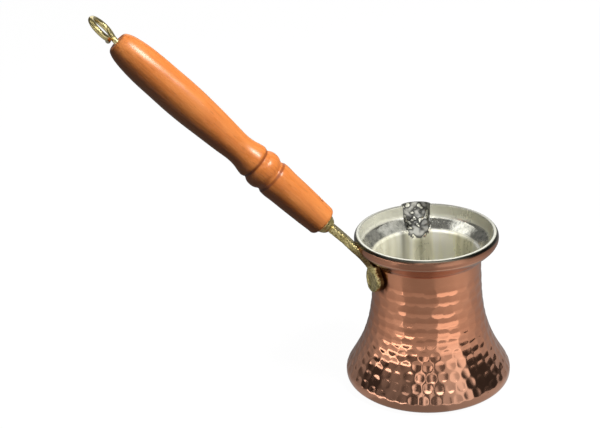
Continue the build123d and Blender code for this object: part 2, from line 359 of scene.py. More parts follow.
def turned_lines(wall):
    """Lines turned into the collar: the fold under the rim, and finer ones below it and at the foot."""
    z = wall[:, 1]
    fold = -0.42 * np.exp(-((z - FOLD_Z) / 0.33) ** 2) * (wall[:, 0] > 34)
    fine = 0
    lines = ((79.3, -0.10, 0.30), (76.0, 0.16, 0.28), (74.9, -0.12, 0.30), (4.1, -0.04, 0.25))
    for at, depth, width in lines:
        fine = fine + depth * np.exp(-((z - at) / width) ** 2)
    return fold + fine


def skin_points(profile, angle, gap, push):
    """Points of the pot's skin.

    profile has (radius, height) rows, and push moves the points along the wall's normal.
    """
    r, z = profile[:, 0][:, None], profile[:, 1][:, None]
    ahead = np.gradient(profile, axis=0)
    size = np.linalg.norm(ahead, axis=1)
    nr, nz = (ahead[:, 1] / size)[:, None], (-ahead[:, 0] / size)[:, None]
    r2, z2 = r + push * nr + 0 * angle, z + push * nz + 0 * angle
    # the pressed wall of the spout is thinner, with room for the tin's dents
    reach = spout_reach(angle + 0 * r2, z2, gap * (0.5 if gap > COPPER_WALL + 0.1 else 0.15))
    out = np.where(reach > 0, soft_max(r2, reach, 0.12), r2)
    x, y = -out * np.sin(angle), out * np.cos(angle)
    lift = np.clip((z2 - 79.0) / (RIM_Z - 79.0), 0, 1) ** 1.4
    z2 = z2 - SPOUT_DIP_SLOPE * np.maximum(0, y - SPOUT_DIP_START) * lift * (reach > 0)
    return np.stack([x, y, z2], -1)


def build_pot():
    """The copper skin with its hammer marks, and the tinned lining that laps over the lip."""
    angle = spread_angles(ANGLES)
    body = spline(PROFILE_BODY, 0.5)
    flare = spline(PROFILE_FLARE, 0.27)
    wall = np.concatenate([body, flare[1:]])
    run = np.concatenate([[0], np.cumsum(np.linalg.norm(np.diff(wall, axis=0), axis=1))])
    low = np.interp(HAMMER_LOW_Z, wall[:, 1], run)
    high = np.interp(HAMMER_HIGH_Z, wall[:, 1], run)
    marks = dimples(angle, run, wall[:, 0], low, high) + turned_lines(wall)[:, None]
    wall = wall.copy()
    wall[-1] = (LIP_R + 0.05, RIM_Z - 0.35)
    outside = skin_points(wall, angle, 0.0, marks)

    inner = inside_profile(COPPER_WALL, 1.1, 2.0)[::-1].copy()
    inner[0, 1] = RIM_Z - 0.35
    inside = skin_points(inner, angle, COPPER_WALL, 0 * angle)
    rings = [8, 18, 28, 35, 38.8]
    under = np.stack([np.stack([-k * np.sin(angle), k * np.cos(angle), 0 * angle], -1) for k in rings])
    top = inner[-1, 0]
    floor_rings = [top * 0.985, top * 0.75, top * 0.4]
    floor = np.stack([np.stack([-k * np.sin(angle), k * np.cos(angle), 0 * angle + COPPER_WALL], -1)
                      for k in floor_rings])
    loops = np.concatenate([under, outside, inside, floor])
    copper = capped_loops("copper_pot", loops, (0, 0, 0), (0, 0, COPPER_WALL))
    depth = np.zeros(loops.shape[:2])
    depth[len(rings):len(rings) + len(wall)] = marks
    set_value(copper.data, "hammer", np.concatenate([depth.ravel(), [0, 0]]))
    set_value(copper.data, "height", np.concatenate([loops[..., 2].ravel(), [0, 0]]))
    hidden_side = np.ones(loops.shape[:2])
    hidden_side[:len(rings) + len(wall)] = 0
    set_value(copper.data, "inner", np.concatenate([hidden_side.ravel(), [0, 1]]))
    # painted shade on the copper round the pad, with the pad's dark reflection in it
    from_pad = np.arctan2(loops[..., 1], loops[..., 0]) - PAD_AT
    around = np.degrees(np.abs((from_pad + math.pi) % (2 * math.pi) - math.pi))
    pad_rows = PAD_HALF[::-1]
    half = np.interp(loops[..., 2], [r[1] for r in pad_rows], [np.degrees(r[0] / NECK_R) for r in pad_rows])
    pad_shade = 1 - smoothstep(around - half, 2.5, 9.0)
    pad_shade *= smoothstep(loops[..., 2], 58.5, 61.5) * (1 - smoothstep(loops[..., 2], 80.5, 84.5))
    # painted shade along the outside of the lip, wider on the side away from the main camera
    facing = np.cos(np.arctan2(loops[..., 1], loops[..., 0]) - FRONT_OF_POT)
    lip_shade = smoothstep(loops[..., 2] - (86.0 + 1.35 * facing), -0.2, 0.25) * (1 - hidden_side)
    set_value(copper.data, "lip_shade", np.concatenate([lip_shade.ravel(), [0, 0]]))
    set_value(copper.data, "pad_shade", np.concatenate([pad_shade.ravel(), [0, 0]]))

    gap = COPPER_WALL + TIN_SKIN
    fine = inside_profile(gap, 1.1, 0.4)
    lining = fine[:-1][::-1]
    lip = np.array([(0.10, -0.42), (0.02, -0.12), (-0.25, 0), (-0.7, 0), (-1.25, -0.02), (-1.6, -0.15)])
    lip += (LIP_R, RIM_Z)
    shown = np.concatenate([lip, lining[lining[:, 1] < RIM_Z - 0.3]])
    shown_points = skin_points(shown, angle, gap, 0 * angle)
    lip_points = skin_points(lip, angle, 0.0, 0 * angle)
    # over the lip the tin's outline grows from the inner spout wall to the outer one
    blend = np.array([0, 0, 0.18, 0.42, 0.7, 0.92])[:, None, None]
    shown_points[:len(lip)] = lip_points * (1 - blend) + shown_points[:len(lip)] * blend
    hidden = inside_profile(COPPER_WALL + 0.02, 1.1, 2.0)
    hidden[-1, 1] = RIM_Z - 0.36
    hidden_points = skin_points(hidden, angle, COPPER_WALL + 0.02, 0 * angle)
    under_rows = np.array([(LIP_R, RIM_Z - 0.34), (LIP_R - 0.05, RIM_Z - 0.34)])
    under_lip = skin_points(under_rows, angle, 0.0, 0 * angle)[1:]
    top = shown[-1, 0]
    floor = np.stack([np.stack([-k * np.sin(angle), k * np.cos(angle), 0 * angle + gap], -1)
                      for k in (top * 0.975, top * 0.8, top * 0.55, top * 0.3, top * 0.1)])
    base = np.stack([np.stack([-k * np.sin(angle), k * np.cos(angle), 0 * angle + COPPER_WALL + 0.02], -1)
                     for k in (hidden[0, 0] * 0.4, hidden[0, 0] * 0.8, hidden[0, 0] * 0.985)])
    loops = np.concatenate([base, hidden_points, under_lip, shown_points, floor])
    tin = capped_loops("tinned_lining", loops, (0, 0, COPPER_WALL + 0.02), (0, 0, gap))
    points = loops.reshape(-1, 3)
    co = points.copy()
    radius = np.linalg.norm(points[:, :2], axis=1)
    shape = np.zeros(loops.shape[:2])
    shape[len(base) + len(hidden) + 1 + len(lip):] = 1
    turn = np.tile(angle, loops.shape[0])
    wall_radius = np.interp(points[:, 2], fine[:, 1], fine[:, 0])
    pressed = np.where(spout_reach(turn, points[:, 2], gap * 0.5) > wall_radius - 1.2, 1, 0)
    soft = (waves(points, 9.0, 11) * 0.05 + waves(points, 4.0, 12) * 0.02) * shape.ravel()
    soft += (waves(points, 5.0, 13) * 0.26 + waves(points, 2.6, 14) * 0.15 - 0.08) * pressed * shape.ravel()
    co[:, 0] -= points[:, 0] / np.maximum(radius, 1) * soft * 0.8
    co[:, 1] -= points[:, 1] / np.maximum(radius, 1) * soft * 0.8
    moved = np.concatenate([co, [(0, 0, COPPER_WALL + 0.02), (0, 0, gap)]]) * MM
    tin.data.vertices.foreach_set("co", moved.astype(np.float32).ravel())
    tin.data.update()
    set_value(tin.data, "height", np.concatenate([points[:, 2], [0, 0]]))
    # painted shade along the lip's edges, and over the whole lip on the side away from the main camera
    edge = np.zeros(loops.shape[:2])
    first = len(base) + len(hidden) + 1
    edge[first - 1:first + len(lip)] = np.array([1, 1, 1, 0.15, 0, 0, 0.6])[:, None]
    back = (1 - np.cos(angle + math.pi / 2 - FRONT_OF_POT)) / 2
    edge[first:first + len(lip)] = np.maximum(edge[first:first + len(lip)], 0.75 * back)
    set_value(tin.data, "edge", np.concatenate([edge.ravel(), [0, 0]]))
    from_back = -np.degrees((turn + math.pi / 2 - FRONT_OF_POT + 2 * math.pi) % (2 * math.pi) - math.pi)
    wipes_and_reflections = np.interp(from_back, *zip(*WIPES_AND_REFLECTIONS)) + 0.05 * waves(points * (1, 1, 0.2), 5.0, 15)
    set_value(tin.data, "wipes_and_reflections", np.concatenate([wipes_and_reflections, [0.85, 0.85]]))
    set_value(tin.data, "crumple", np.concatenate([np.where(pressed > 0, 0.8 + soft * 1.6, 0), [0, 0]]))
    return copper, tin


# ------------------------------------------------------------------ handle wood
def build_wood():
    def line(a, b, step=0.4):
        a, b = np.array(a, float), np.array(b, float)
        n = max(2, int(np.linalg.norm(b - a) / step) + 1)
        return a + (b - a) * np.linspace(0, 1, n)[:, None]

    runs = [
        line((0, 0), (0, 2.5)), line((0, 2.6), (0, WOOD_FOOT_R), 0.5)[1:],
        spline([(0.0, WOOD_FOOT_R), (0.15, 7.7), (0.6, 8.05), WOOD_FERRULE[0]], 0.25)[1:],
        spline(WOOD_FERRULE, 0.6)[1:], line(WOOD_FERRULE[-1], WOOD_BEAD[0], 0.35)[1:],
        spline(WOOD_BEAD, 0.35)[1:],
        line(WOOD_BEAD[-1], (WOOD_GRIP[0][0] - 1.3, WOOD_GRIP[0][1] - 0.35), 0.25)[1:],
        line((WOOD_GRIP[0][0] - 1.3, WOOD_GRIP[0][1] - 0.35), WOOD_GRIP[0], 0.3)[1:],
        spline(WOOD_GRIP, 0.6)[1:],
        spline([WOOD_GRIP[-1], (143.2, 5.6), (WOOD_LENGTH, WOOD_TOP_R)], 0.3)[1:],
        line((WOOD_LENGTH, WOOD_TOP_R), (WOOD_LENGTH, 0.0), 0.5)[1:],
    ]
    profile = np.concatenate(runs)

    def bump(t, angle):
        flat = np.stack([t.ravel() * 0.35, 9 * np.cos(angle).ravel(), 9 * np.sin(angle).ravel()], 1)
        slow = waves(flat, 9.0, 3) * 0.035 + waves(flat, 3.0, 4) * 0.012
        keep = smoothstep(t.ravel(), 0.6, 3) * (1 - smoothstep(t.ravel(), 139, 143))
        return ((slow - 0.05) * keep).reshape(t.shape)

    wood = lathe("turned_wood", profile, 144, bump)
    wood.matrix_world = handle_matrix()

    angle = np.linspace(0, 2 * math.pi, 40, endpoint=False)
    flared = [(7.0, PIN_HOLE_R), (7.6, PIN_HOLE_R + 0.1), (8.3, PIN_MOUTH_R - 0.25),
              (9.7, PIN_MOUTH_R + 0.2), (12, PIN_HOLE_R + 4.0)]
    stack = [(-x, r) for x, r in reversed(flared)] + flared
    loops = np.array([[(x, r * math.cos(a), PIN_AT + r * math.sin(a)) for a in angle] for x, r in stack])
    drill = capped_loops("drill", loops, (-12, 0, PIN_AT), (12, 0, PIN_AT))
    drill.matrix_world = handle_matrix()
    cut(wood, drill)
    sockets = [(-1.0, TANG_LENGTH + 0.5, TANG_R + 0.05),
               (WOOD_LENGTH - EYE_SHANK_IN - 0.4, WOOD_LENGTH + 1.0, EYE_WIRE_R + 0.05)]
    for start, end, radius in sockets:
        loops = np.array([[(radius * math.cos(a), radius * math.sin(a), t) for a in angle]
                          for t in (start, end)])
        bore = capped_loops("bore", loops, (0, 0, start), (0, 0, end))
        bore.matrix_world = handle_matrix()
        cut(wood, bore)
    co = np.empty(len(wood.data.vertices) * 3, np.float32)
    wood.data.vertices.foreach_get("co", co)
    up, out = co.reshape(-1, 3)[:, 2] / MM, np.linalg.norm(co.reshape(-1, 3)[:, :2], axis=1) / MM
    # painted shade in the grooves beside the bead and in the mouth of the pin hole
    groove_shade = sum(1 - smoothstep(np.abs(up - at), 0.3, wide) for at, wide in ((37.7, 1.0), (49.4, 1.3)))
    mouth = (1 - smoothstep(np.abs(up - PIN_AT), 2.0, 3.2)) * (out < WOOD_FERRULE[2][1] - 0.35)
    set_value(wood.data, "groove_shade", np.clip(np.maximum(groove_shade, mouth), 0, 1))
    return wood


# ------------------------------------------------------------------ cast bracket
def arm_section(width, thick):
    """The strap's section: a flat bar with a low rail along each edge of its upper face."""
    w, h = width / 2, thick / 2
    half = [(0.0, h - 0.42), (w * 0.42, h - 0.40), (w * 0.60, h - 0.34), (w * 0.68, h - 0.04),
            (w * 0.78, h), (w * 0.9, h - 0.06), (w, h - 0.35), (w, 0.25), (w * 0.985, -0.1),
            (w * 0.99, -h * 0.55), (w * 0.9, -h * 0.93), (w * 0.7, -h), (w * 0.35, -h)]
    other = [(-a, b) for a, b in reversed(half[1:])]
    return half + [(0.0, -h)] + other


def pad_blank():
    """The drop-shaped plate, hollowed a little inside a raised edge."""
    left = [(-w, z) for w, z in reversed(PAD_HALF)]
    outline = spline(PAD_HALF + [(0, PAD_TIP_Z)] + left, 0.8)
    outline = np.concatenate([outline, np.linspace(outline[-1], outline[0], 8)[1:-1]])
    centre = np.array([0.0, 68.0])
    steps = [1.0, 0.985, 0.95, 0.9, 0.83, 0.75, 0.65, 0.54, 0.42, 0.28, 0.12]
    lift = [-0.75, -0.25, 0.0, 0.06, -0.20, -0.60, -0.90, -1.05, -1.1, -1.1, -1.08]
    loops = []
    outward = np.array([math.cos(PAD_AT), math.sin(PAD_AT)])
    across = np.array([-math.sin(PAD_AT), math.cos(PAD_AT)])

    def place(flat, radius):
        depth = np.sqrt(np.maximum(radius ** 2 - flat[:, 0] ** 2, 1))
        xy = outward[None, :] * depth[:, None] + across[None, :] * flat[:, :1]
        return np.concatenate([xy, flat[:, 1:]], 1)

    loops.append(place(centre + (outline - centre) * 0.3, 29.3))
    loops.append(place(centre + (outline - centre) * 0.96, 29.3))
    loops.append(place(outline, 29.9))
    for k, up in zip(steps, lift):
        loops.append(place(centre + (outline - centre) * k, PAD_OUTER_R + up))
    loops = np.array(loops)
    low = place(centre[None, :], 29.3)[0]
    high = place(centre[None, :], PAD_OUTER_R - 1.08)[0]
    return capped_loops("pad", loops, low, high)


def build_bracket():
    fine = spline([row[:3] for row in ARM], 0.6)
    known = np.array([row[:3] for row in ARM])
    share = np.concatenate([[0], np.cumsum(np.linalg.norm(np.diff(known, axis=0), axis=1))])
    here = np.concatenate([[0], np.cumsum(np.linalg.norm(np.diff(fine, axis=0), axis=1))])
    widths = np.interp(here, share, [row[3] for row in ARM])
    thick = np.interp(here, share, [row[4] for row in ARM])
    arm = sweep("arm", fine, lambda i: arm_section(widths[i], thick[i])[::-1], side=Vector((0, 1, 0)))
    cup = lathe("cup", [(-5.75, 0)] + [(d, r) for d, r in reversed(FLANGE)] + [(0.0, 3.0), (0.0, 0)], 64)
    cup.matrix_world = handle_matrix()
    tang_profile = [(-3, 0), (-3, TANG_R), (TANG_LENGTH - 0.6, TANG_R),
                    (TANG_LENGTH, TANG_R - 0.6), (TANG_LENGTH, 0)]
    tang = lathe("tang", tang_profile, 48)
    tang.matrix_world = handle_matrix()
    angle = np.linspace(0, 2 * math.pi, 32, endpoint=False)
    loops = np.array([[(x, PIN_HOLE_R * math.cos(a), PIN_AT + PIN_HOLE_R * math.sin(a)) for a in angle]
                      for x in (-6, 6)])
    drill = capped_loops("drill", loops, (-6, 0, PIN_AT), (6, 0, PIN_AT))
    drill.matrix_world = handle_matrix()
    cut(tang, drill)
    bracket = joined("cast_bracket", [pad_blank(), arm, cup, tang])
    remesh = bracket.modifiers.new("fuse", "REMESH")
    remesh.mode, remesh.voxel_size = "VOXEL", 0.27 * MM
    smooth = bracket.modifiers.new("soften", "SMOOTH")
    smooth.factor, smooth.iterations = 0.5, 2
    apply_modifiers(bracket)
    count = len(bracket.data.vertices)
    co, normal = np.empty(count * 3, np.float32), np.empty(count * 3, np.float32)
    bracket.data.vertices.foreach_get("co", co)
    bracket.data.vertices.foreach_get("normal", normal)
    co, normal = co.reshape(-1, 3) / MM, normal.reshape(-1, 3)
    grain = np.minimum(waves(co, 1.5, 21, 24) * 0.5 + waves(co, 0.9, 22, 24) * 0.3, 0.3)
    local = (co - np.array(WOOD_FOOT)) @ np.array(AXIS)
    keep = 1 - smoothstep(local, -1.0, 0.5)
    radius = np.linalg.norm(co[:, :2], axis=1)
    keep *= np.where(co[:, 2] < 76, smoothstep(radius, 30.2, 31.0), 1)
    co += normal * ((grain - 0.35) * 0.11 * keep)[:, None]
    # the back of the casting bites a little into the pot's wall, and never reaches through it
    skin = np.concatenate([spline(PROFILE_BODY, 0.5), spline(PROFILE_FLARE, 0.27)[1:]])
    bite = np.interp(co[:, 2], skin[:, 1], skin[:, 0]) - BRACKET_BITE
    sunk = (np.linalg.norm(co[:, :2], axis=1) < bite) & (co[:, 2] < RIM_Z)
    co[sunk, :2] *= (bite[sunk] / np.linalg.norm(co[sunk, :2], axis=1))[:, None]
    bracket.data.vertices.foreach_set("co", (co * MM).astype(np.float32).ravel())
    bracket.data.update()
    set_value(bracket.data, "grain", grain * keep)
    # painted shade and the copper's dark reflection on the casting: under the flare and against the pot's
    # wall
    under_flare = (1 - smoothstep(co[:, 2], 81.0, 88.5)) * smoothstep(co[:, 2], 74.5, 77.5)
    wall = (1 - smoothstep(radius, 31.6, 32.7)) * (co[:, 2] < 78)
    set_value(bracket.data, "casting_shade", np.clip(np.maximum(wall, 0.85 * under_flare), 0, 1))
    return bracket


# ------------------------------------------------------------------ wire eye
def build_eye():
    """One bent wire: plain shank, nearly closed ring, and the cut end crossing under the neck."""
    path = [(WOOD_LENGTH - EYE_SHANK_IN + 1.0, 0, 0), (WOOD_LENGTH - 8, 0, 0), (WOOD_LENGTH + 0.8, 0, 0),
            (EYE_AT - EYE_R - 0.9, 0.15, 0.9)]
    for degrees in range(34, 331, 12):
        a = math.radians(degrees)
        share = (degrees - 34) / (330 - 34)
        path.append((EYE_AT - EYE_R * math.cos(a), 0.35 - 1.1 * share ** 2, EYE_R * math.sin(a)))
    path += [(147.6, -1.6, -1.5), (147.0, -2.6, 0.2)]
    centres = spline([handle_point(*p) for p in path], 0.45)
    radius = lambda i: EYE_WIRE_R * (1 if 1 < i < len(centres) - 2 else 0.93)
    return sweep("wire_eye", centres, lambda i: ring_section(radius(i)), side=Vector((0, 1, 0.2)))


# ------------------------------------------------------------------ materials
class Shader:
    """A Principled material and short ways to add nodes to it."""

    def __init__(self, name):
        self.material = bpy.data.materials.new(name)
        self.material.use_nodes = True
        self.tree = self.material.node_tree
        self.surface = self.tree.nodes["Principled BSDF"]

    def add(self, kind, settings=None, **inputs):
        made = self.tree.nodes.new(kind)
        for key, value in (settings or {}).items():
            setattr(made, key, value)
        for key, value in inputs.items():
            self.put(made.inputs[key.replace("_", " ")], value)
        return made

    def put(self, socket, value):
        if isinstance(value, bpy.types.NodeSocket):
            self.tree.links.new(value, socket)
        else:
            socket.default_value = value

    def set(self, name, value):
        self.put(self.surface.inputs[name], value)

    def noise(self, vector, scale, detail=3.0, rough=0.55, warp=0.0):
        return self.add("ShaderNodeTexNoise", Vector=vector, Scale=scale, Detail=detail, Roughness=rough,
                        Distortion=warp).outputs["Fac"]

    def place(self, scale=(1, 1, 1), kind="Object"):
        where = self.add("ShaderNodeTexCoord").outputs[kind]
        return self.add("ShaderNodeMapping", Vector=where, Scale=scale).outputs["Vector"]

    def ramp(self, value, stops):
        made = self.add("ShaderNodeValToRGB", Fac=value)
        ramp = made.color_ramp
        while len(ramp.elements) < len(stops):
            ramp.elements.new(0.5)
        for element, (at, colour) in zip(ramp.elements, stops):
            element.position = at
            element.color = (*colour, 1) if len(colour) == 3 else colour
        return made.outputs["Color"]

    def span(self, value, low, high, to_low, to_high):
        made = self.add("ShaderNodeMapRange", Value=value)
        for key, number in zip(("From Min", "From Max", "To Min", "To Max"), (low, high, to_low, to_high)):
            made.inputs[key].default_value = number
        return made.outputs["Result"]

    def mix(self, share, a, b, way="MIX"):
        made = self.add("ShaderNodeMix", {"data_type": "RGBA", "blend_type": way})
        self.put(made.inputs[0], share)
        self.put(made.inputs[6], a if isinstance(a, bpy.types.NodeSocket) else (*a, 1))
        self.put(made.inputs[7], b if isinstance(b, bpy.types.NodeSocket) else (*b, 1))
        return made.outputs[2]

    def math(self, how, a, b=0.0):
        made = self.add("ShaderNodeMath", {"operation": how})
        self.put(made.inputs[0], a)
        self.put(made.inputs[1], b)
        return made.outputs[0]

    def value(self, name):
        return self.add("ShaderNodeAttribute", {"attribute_name": name}).outputs["Fac"]

    def bump(self, height, strength, distance):
        made = self.add("ShaderNodeBump", Height=height, Strength=strength, Distance=distance)
        self.set("Normal", made.outputs["Normal"])


def copper_material():
    s = Shader("copper_finish")
    where = s.place()
    cloud = s.noise(where, 38, 4, 0.6)
    fine = s.noise(where, 420, 3, 0.6)
    base = s.ramp(cloud, [(0.25, (0.72, 0.305, 0.170)), (0.55, (0.80, 0.352, 0.203)),
                          (0.8, (0.86, 0.400, 0.240))])
    # darker in the hammer hollows
    hollow = s.span(s.value("hammer"), -0.28, 0.0, 1.0, 0.0)
    base = s.mix(s.math("MULTIPLY", hollow, 0.35), base, (0.66, 0.265, 0.15))
    height = s.value("height")
    # painted shade on the outside of the flare's cone, which faces down
    cone = s.math("MULTIPLY", s.span(height, 74.6, 75.8, 0, 1), s.span(height, 82.4, 83.6, 1, 0))
    cone_shade = s.math("MULTIPLY", cone, s.span(s.value("inner"), 0, 0.5, 0.9, 0))
    base = s.mix(cone_shade, base, (0.60, 0.37, 0.265))
    turned = s.span(height, 66.0, 76.0, 0, 0.14)
    # painted shade on the folded rim below the lip, darkest near the lip
    fold = s.math("MULTIPLY", s.span(height, 82.8, 83.4, 0, 1), s.span(s.value("inner"), 0, 0.5, 0.75, 0))
    rim_shade = s.mix(s.span(height, 84.6, 85.8, 0, 1), (0.50, 0.235, 0.150), (0.25, 0.130, 0.085))
    base = s.mix(fold, base, rim_shade)
    # duller towards the lower belly and darker near the foot: painted reflection, fitted to the main view,
    # so it stays in any light
    base = s.mix(s.span(height, 14.0, 40.0, 0.5, 0.0), base, (0.74, 0.44, 0.31))
    base = s.mix(s.span(height, 6.0, 19.0, 0.28, 0.0), base, (0.17, 0.10, 0.08))
    # painted shade along the lip and round the pad, fitted to the main view in the same way
    base = s.mix(s.value("lip_shade"), base, (0.10, 0.095, 0.075))
    mottle = s.noise(s.place((1, 1, 0.35)), 260, 4, 0.6)
    pad_shade_mottled = s.math("MULTIPLY", s.value("pad_shade"), s.span(mottle, 0.36, 0.50, 0.35, 1))
    base = s.mix(pad_shade_mottled, base, (0.14, 0.045, 0.018))
    mixed = s.math("ADD", s.math("MULTIPLY", cloud, 0.6), s.math("MULTIPLY", fine, 0.4))
    rough = s.span(mixed, 0.3, 0.7, 0.06, 0.12)
    s.set("Base Color", base)
    s.set("Metallic", 1.0)
    s.set("Roughness", s.math("ADD", rough, turned))
    s.bump(s.noise(s.place((1, 1, 2.4)), 900, 3, 0.5), 0.10, 0.0002)
    return s.material


def tin_material():
    s = Shader("tin_finish")
    where = s.place()
    cloud = s.noise(where, 60, 5, 0.6, 0.4)
    streak = s.noise(s.place((1, 1, 0.10)), 75, 4, 0.6)
    height = s.value("height")
    # the tin is wiped everywhere but on the flare's cone
    wiped = s.math("ADD", s.span(height, 75.9, 76.7, 1, 0), s.span(height, 80.9, 81.8, 0, 1))
    base = s.ramp(cloud, [(0.3, (0.86, 0.84, 0.72)), (0.7, (0.93, 0.92, 0.83))])
    wall = s.ramp(streak, [(0.33, (0.66, 0.65, 0.50)), (0.44, (0.88, 0.86, 0.68)),
                           (0.54, (0.97, 0.96, 0.82)), (0.63, (1.0, 1.0, 0.95))])
    blotch = s.ramp(s.noise(where, 330, 4, 0.65), [(0.36, (0.42, 0.43, 0.43)), (0.50, (0.82, 0.83, 0.82)),
                                                   (0.62, (1.0, 1.0, 0.99))])
    base = s.mix(0.75, base, blotch, "MULTIPLY")
    # the neck's bars: partly wipe marks, partly painted reflection
    wipes_and_reflections = s.value("wipes_and_reflections")
    grey = s.add("ShaderNodeCombineXYZ", X=wipes_and_reflections, Y=wipes_and_reflections, Z=wipes_and_reflections).outputs[0]
    wall = s.mix(s.span(height, 76.0, 77.5, 1, 0), wall, grey, "MULTIPLY")
    wall = s.mix(s.span(height, 80.9, 81.8, 0, 1), wall, (0.72, 0.72, 0.62))
    base = s.mix(wiped, base, wall)
    # painted shade in the crumpled spout: much darker than clean tin, to fit the main view
    pressed = s.value("crumple")
    dents = s.ramp(s.span(pressed, 0.45, 1.15, 0, 1), [
        (0.0, (0.06, 0.06, 0.055)), (0.4, (0.18, 0.18, 0.165)),
        (0.75, (0.30, 0.30, 0.275)), (1.0, (0.42, 0.42, 0.385))])
    base = s.mix(s.span(pressed, 0.05, 0.3, 0, 1), base, dents)
    # painted shade along the lip
    s.set("Base Color", s.mix(s.value("edge"), base, (0.10, 0.10, 0.085)))
    s.set("Metallic", s.math("SUBTRACT", 0.95, s.math("MULTIPLY", wiped, 0.62)))
    mixed = s.math("ADD", s.math("MULTIPLY", cloud, 0.5), s.math("MULTIPLY", streak, 0.5))
    rough = s.span(mixed, 0.3, 0.7, 0.05, 0.11)
    rough = s.math("ADD", rough, s.span(pressed, 0.05, 0.3, 0, 0.24))
    s.set("Roughness", s.math("ADD", rough, s.math("MULTIPLY", wiped, 0.20)))
    s.bump(s.noise(where, 620, 3, 0.65), 0.30, 0.0003)
    return s.material


def brass_material(name, cast):
    s = Shader(name)
    where = s.place()
    cloud = s.noise(where, 210 if cast else 120, 4, 0.6)
    fine = s.noise(where, 1300, 3, 0.65)
    base = s.ramp(cloud, [(0.28, (0.42, 0.34, 0.135)), (0.55, (0.64, 0.54, 0.26)),
                          (0.8, (0.76, 0.68, 0.38))])
    if cast:
        # painted shade in the casting's pits
        pit_shade = s.span(s.value("grain"), -1.2, 0.2, 1.0, 0.0)
        base = s.mix(s.math("MULTIPLY", pit_shade, 0.7), base, (0.17, 0.13, 0.04))
        # painted shade under the flare and against the pot's wall
        base = s.mix(s.value("casting_shade"), base, (0.085, 0.042, 0.014))
    s.set("Base Color", base)
    s.set("Metallic", 1.0)
    s.set("Roughness", s.span(fine, 0.3, 0.7, 0.22 if cast else 0.12, 0.38 if cast else 0.24))
    s.bump(fine, 0.35 if cast else 0.08, 0.0003)
    return s.material


def rivet_material():
    s = Shader("rivet_finish")
    cloud = s.noise(s.place(), 500, 3, 0.6)
    s.set("Base Color", s.ramp(cloud, [(0.3, (0.66, 0.58, 0.47)), (0.7, (0.82, 0.77, 0.66))]))
    s.set("Metallic", 1.0)
    s.set("Roughness", s.span(cloud, 0.3, 0.7, 0.20, 0.32))
    return s.material


def steel_material():
    s = Shader("pin_finish")
    cloud = s.noise(s.place(), 700, 4, 0.6)
    s.set("Base Color", s.ramp(cloud, [(0.3, (0.24, 0.22, 0.20)), (0.7, (0.46, 0.44, 0.41))]))
    s.set("Metallic", 1.0)
    s.set("Roughness", s.span(cloud, 0.3, 0.7, 0.28, 0.45))
    s.bump(cloud, 0.2, 0.0002)
    return s.material


def wood_material():
    s = Shader("wood_finish")
    grain = s.noise(s.place((1, 1, 0.045)), 420, 5, 0.62, 0.5)
    pores = s.noise(s.place((1, 1, 0.09)), 1500, 3, 0.6)
    cloud = s.noise(s.place((1, 1, 0.4)), 90, 4, 0.6)
    fleck = s.noise(s.place((1, 1, 0.5)), 900, 3, 0.7)
    base = s.ramp(grain, [(0.25, (0.47, 0.122, 0.024)), (0.5, (0.62, 0.186, 0.040)),
                          (0.78, (0.74, 0.262, 0.068))])
    base = s.mix(s.span(cloud, 0.35, 0.7, 0.0, 0.45), base, (0.70, 0.275, 0.082))
    base = s.mix(s.span(pores, 0.60, 0.72, 0.0, 0.55), base, (0.33, 0.10, 0.03))
    base = s.mix(s.span(fleck, 0.60, 0.75, 0.0, 0.35), base, (0.84, 0.42, 0.17))
    # painted shade in the grooves and the pin hole's mouth
    base = s.mix(s.math("MULTIPLY", s.value("groove_shade"), 0.80), base, (0.21, 0.046, 0.010))
    s.set("Base Color", base)
    s.set("Roughness", s.span(fleck, 0.3, 0.7, 0.30, 0.46))
    s.set("Specular IOR Level", 0.0)
    s.set("Coat Weight", 0.50)
    s.set("Coat Roughness", s.span(cloud, 0.3, 0.7, 0.22, 0.34))
    s.bump(s.math("ADD", s.math("MULTIPLY", pores, -0.5), s.math("MULTIPLY", fleck, 0.6)), 0.30, 0.0005)
    return s.material


def finish_with(piece, material):
    piece.data.materials.clear()
    piece.data.materials.append(material)


# ------------------------------------------------------------------ camera, light and floor
CAMERA_AT = Vector((-102.91, -682.11, 401.79))
CAMERA_AZIMUTH, CAMERA_PITCH, CAMERA_ROLL = math.radians(-3), math.radians(23.604), math.radians(3.024)
CAMERA_LENS = 84.37


def add_camera():
    back = Vector((math.sin(CAMERA_AZIMUTH) * math.cos(CAMERA_PITCH),
                   -math.cos(CAMERA_AZIMUTH) * math.cos(CAMERA_PITCH), math.sin(CAMERA_PITCH)))
    level = Vector((math.cos(CAMERA_AZIMUTH), math.sin(CAMERA_AZIMUTH), 0))
    plumb = back.cross(level)
    right = level * math.cos(CAMERA_ROLL) - plumb * math.sin(CAMERA_ROLL)
    up = back.cross(right)
    made = bpy.data.objects.new("camera", bpy.data.cameras.new("camera"))
    bpy.context.scene.collection.objects.link(made)
    turn = Matrix((right, up, back)).transposed().to_4x4()
    turn.translation = CAMERA_AT * MM
    made.matrix_world = turn
    made.data.lens, made.data.sensor_width = CAMERA_LENS, 36
    made.data.clip_start, made.data.clip_end = 0.02, 20
    bpy.context.scene.camera = made


def towards(azimuth, elevation):
    """A direction, from its angle to the right of the camera's side and its height, in degrees."""
    a, e = math.radians(azimuth) + CAMERA_AZIMUTH, math.radians(elevation)
    return Vector((math.sin(a) * math.cos(e), -math.cos(a) * math.cos(e), math.sin(e)))


